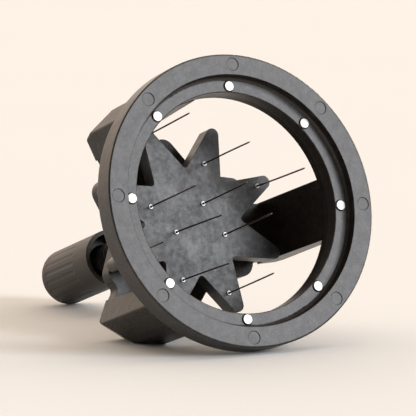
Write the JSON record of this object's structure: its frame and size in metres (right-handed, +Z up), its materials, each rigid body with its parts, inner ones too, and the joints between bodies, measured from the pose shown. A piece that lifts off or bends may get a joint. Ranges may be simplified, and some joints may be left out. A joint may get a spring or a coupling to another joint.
{
  "type": "flower frog",
  "caption": "Flower frog: flanged ring with magnets on a legged cage, star-shaped plate of long pins inside, and a screw-adjusted foot behind.",
  "frame": {"origin": "on the ground, under the middle of the whole frog's box as it lies on its side, resting on the flange's rim, a leg and the sleeve", "axes": "+Z is up; +X is level and runs from the foot towards the flange, along the frog's length; +Y completes the right-handed frame"},
  "size_m": [0.2152, 0.1456, 0.1423],
  "materials": {
    "moulded_shell": "satin black moulded plastic",
    "pin_plate": "satin black moulded plastic, scuffed",
    "pin_steel": "drawn steel wire, brown oxide",
    "plated_eyelet": "bright nickel",
    "magnet_plate": "bright nickel plating",
    "stem_black": "black oxide, threaded",
    "nut_black": "black oxide",
    "sleeve_plastic": "satin brown-black moulded plastic",
    "insert_black": "black oxide, tapped",
    "stud_steel": "turned steel",
    "pad_rubber": "matt rubber"
  },
  "bodies": {
    "frame": {"flange_ring": "moulded_shell", "leg_cage": "moulded_shell", "star_plate": "pin_plate", "threaded_stem": "stem_black", "lock_washer": "nut_black", "lock_nut": "nut_black", "magnet_1": "magnet_plate", "magnet_2": "magnet_plate", "magnet_3": "magnet_plate", "magnet_4": "magnet_plate", "magnet_5": "magnet_plate", "magnet_6": "magnet_plate", "magnet_7": "magnet_plate", "magnet_8": "magnet_plate", "pin_1": "pin_steel", "pin_collar_1": "plated_eyelet", "pin_2": "pin_steel", "pin_collar_2": "plated_eyelet", "pin_3": "pin_steel", "pin_collar_3": "plated_eyelet", "pin_4": "pin_steel", "pin_collar_4": "plated_eyelet", "pin_5": "pin_steel", "pin_collar_5": "plated_eyelet", "pin_6": "pin_steel", "pin_collar_6": "plated_eyelet", "pin_7": "pin_steel", "pin_collar_7": "plated_eyelet", "pin_8": "pin_steel", "pin_collar_8": "plated_eyelet", "pin_9": "pin_steel", "pin_collar_9": "plated_eyelet", "pin_10": "pin_steel", "pin_collar_10": "plated_eyelet"},
    "foot": {"foot_pad": "pad_rubber", "swivel_stud": "stud_steel"},
    "sleeve": {"grip_sleeve": "sleeve_plastic", "threaded_insert": "insert_black"}
  },
  "joints": [
    {"name": "foot_travel", "type": "slide", "parent": "frame", "child": "foot", "axis": [0.9543, 0, 0.2987], "range_m": [0, 0.024]},
    {"name": "sleeve_turn", "type": "hinge", "parent": "foot", "child": "sleeve", "pos_m": [-0.10382, 0, 0.01356], "axis": [0.9543, 0, 0.2987], "range_deg": [0, 1440]}
  ],
  "couplings": [
    {"joint": "sleeve_turn", "follows": "foot_travel", "rad_per_m": 1047.2}
  ]
}
